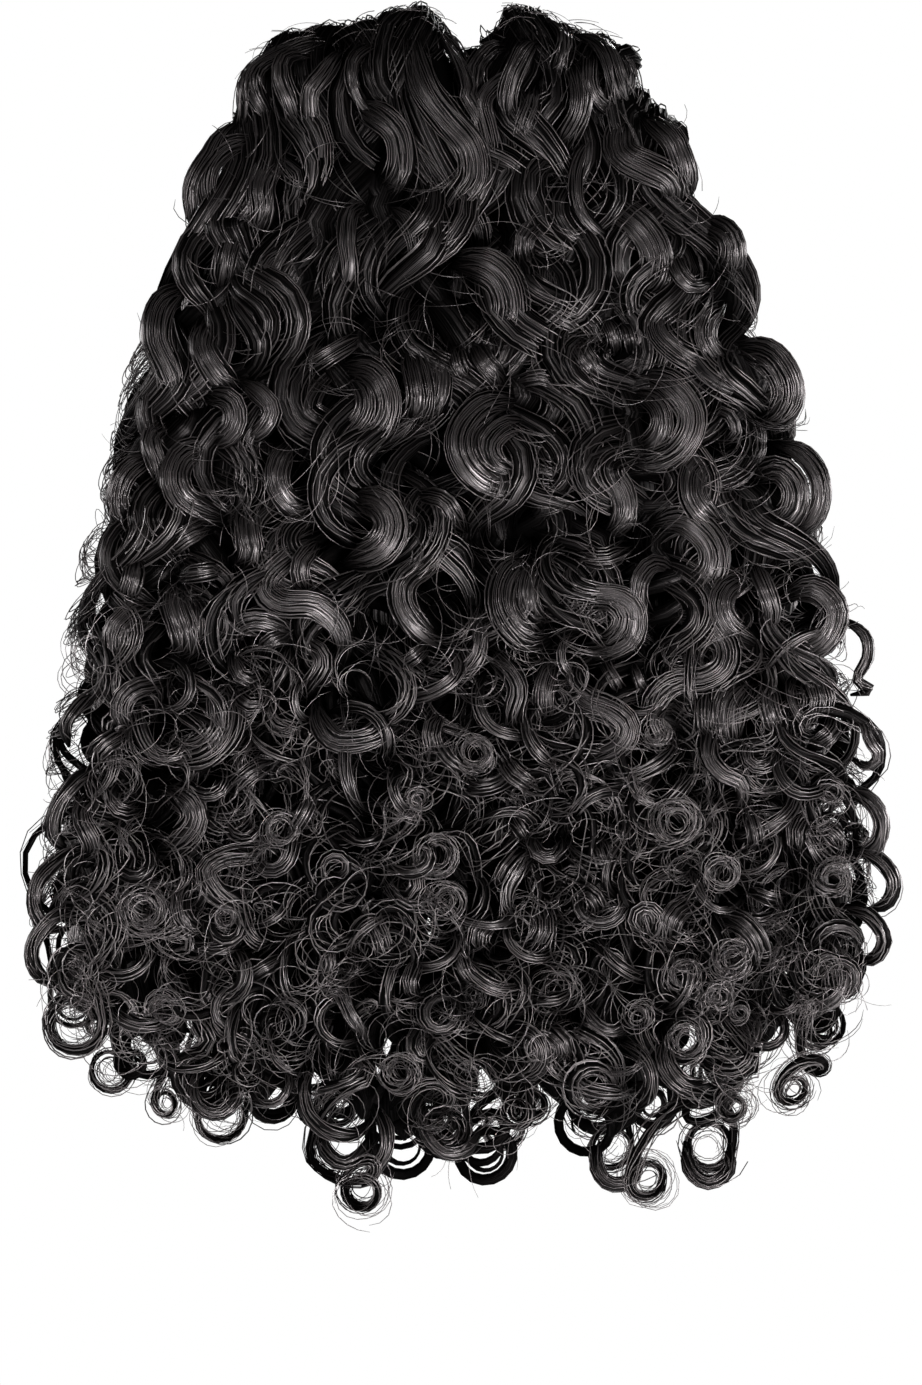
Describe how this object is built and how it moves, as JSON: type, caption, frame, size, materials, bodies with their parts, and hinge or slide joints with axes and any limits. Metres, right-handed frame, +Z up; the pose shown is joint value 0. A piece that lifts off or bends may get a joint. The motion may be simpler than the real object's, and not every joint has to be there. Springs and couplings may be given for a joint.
{
  "type": "crochet hair",
  "caption": "Pre-looped black curly crochet hair: hanks doubled over at the top, whose wavy locks fan out and end in ring-shaped curls.",
  "frame": {"origin": "inside the loops under the folds, on the line that the hair hangs from", "axes": "+Z up, from the curled ends to the folds; +X to the right as seen from the front; the front faces -Y"},
  "size_m": [0.2489, 0.0633, 0.357],
  "materials": {
    "hair": "glossy black fibre in curled strands"
  },
  "bodies": {
    "root": {"outer_left_loop": "hair", "outer_left_front": "hair", "outer_left_back": "hair", "inner_left_loop": "hair", "inner_left_front": "hair", "inner_left_back": "hair", "middle_loop": "hair", "middle_front": "hair", "middle_back": "hair", "inner_right_loop": "hair", "inner_right_front": "hair", "inner_right_back": "hair", "outer_right_loop": "hair", "outer_right_front": "hair", "outer_right_back": "hair"}
  },
  "joints": []
}
